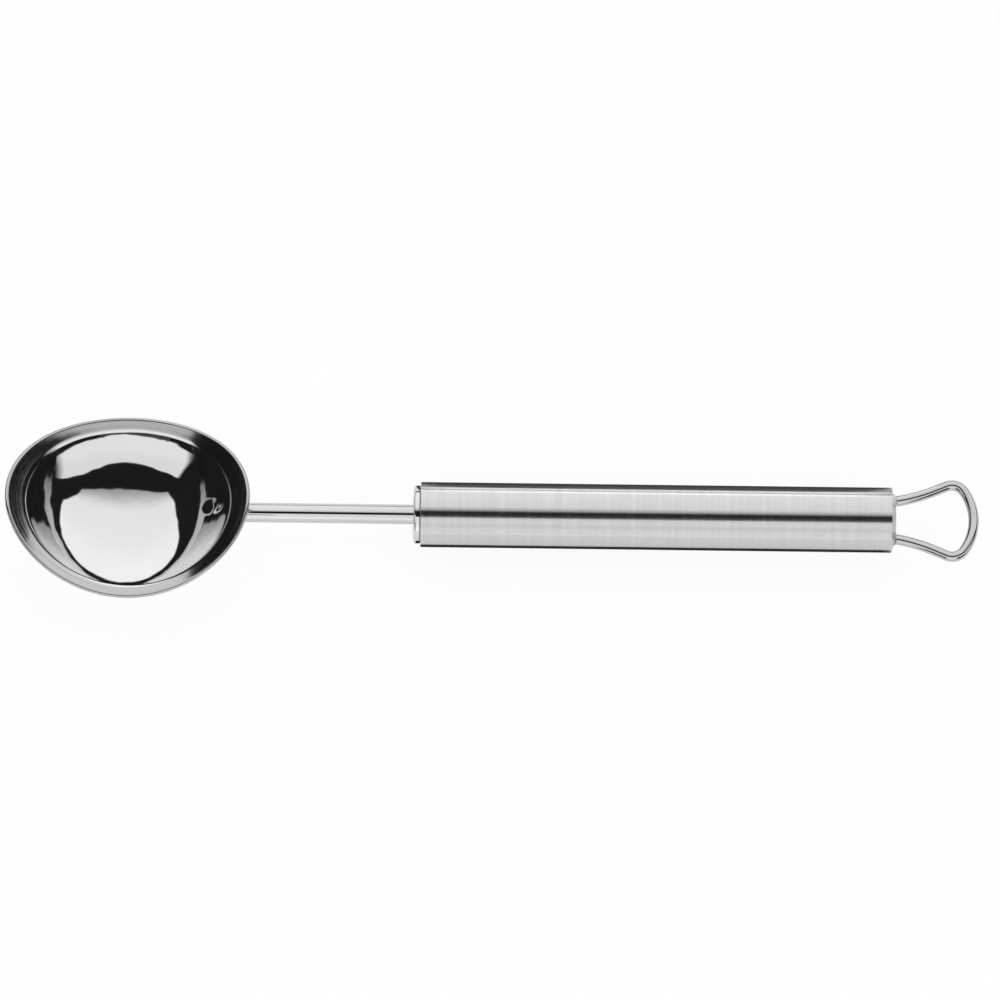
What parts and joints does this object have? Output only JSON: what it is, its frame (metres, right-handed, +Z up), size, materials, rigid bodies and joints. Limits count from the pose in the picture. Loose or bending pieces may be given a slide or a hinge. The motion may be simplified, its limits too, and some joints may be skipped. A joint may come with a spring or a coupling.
{
  "type": "ice cream scoop",
  "caption": "Stainless steel ice cream scoop: oval pressed bowl on a round stem, brushed tubular handle with turned end caps and a wire hanging loop.",
  "frame": {"origin": "under the middle of the whole length, level with the lowest point of the handle tube", "axes": "+X along the handle from the bowl to the hanging loop, +Y across the scoop, +Z up out of the open bowl"},
  "size_m": [0.2228, 0.043, 0.0204],
  "materials": {
    "polished_steel": "mirror polished stainless steel",
    "brushed_steel": "satin, brushed round the tube"
  },
  "bodies": {
    "root": {"scoop_bowl": "polished_steel", "bowl_weld": "polished_steel", "stem_rod": "polished_steel", "front_cap": "polished_steel", "stem_weld": "brushed_steel", "handle_tube": "brushed_steel", "rear_cap": "brushed_steel", "hanging_loop": "polished_steel", "loop_weld_far": "polished_steel", "loop_weld_near": "polished_steel"}
  },
  "joints": []
}
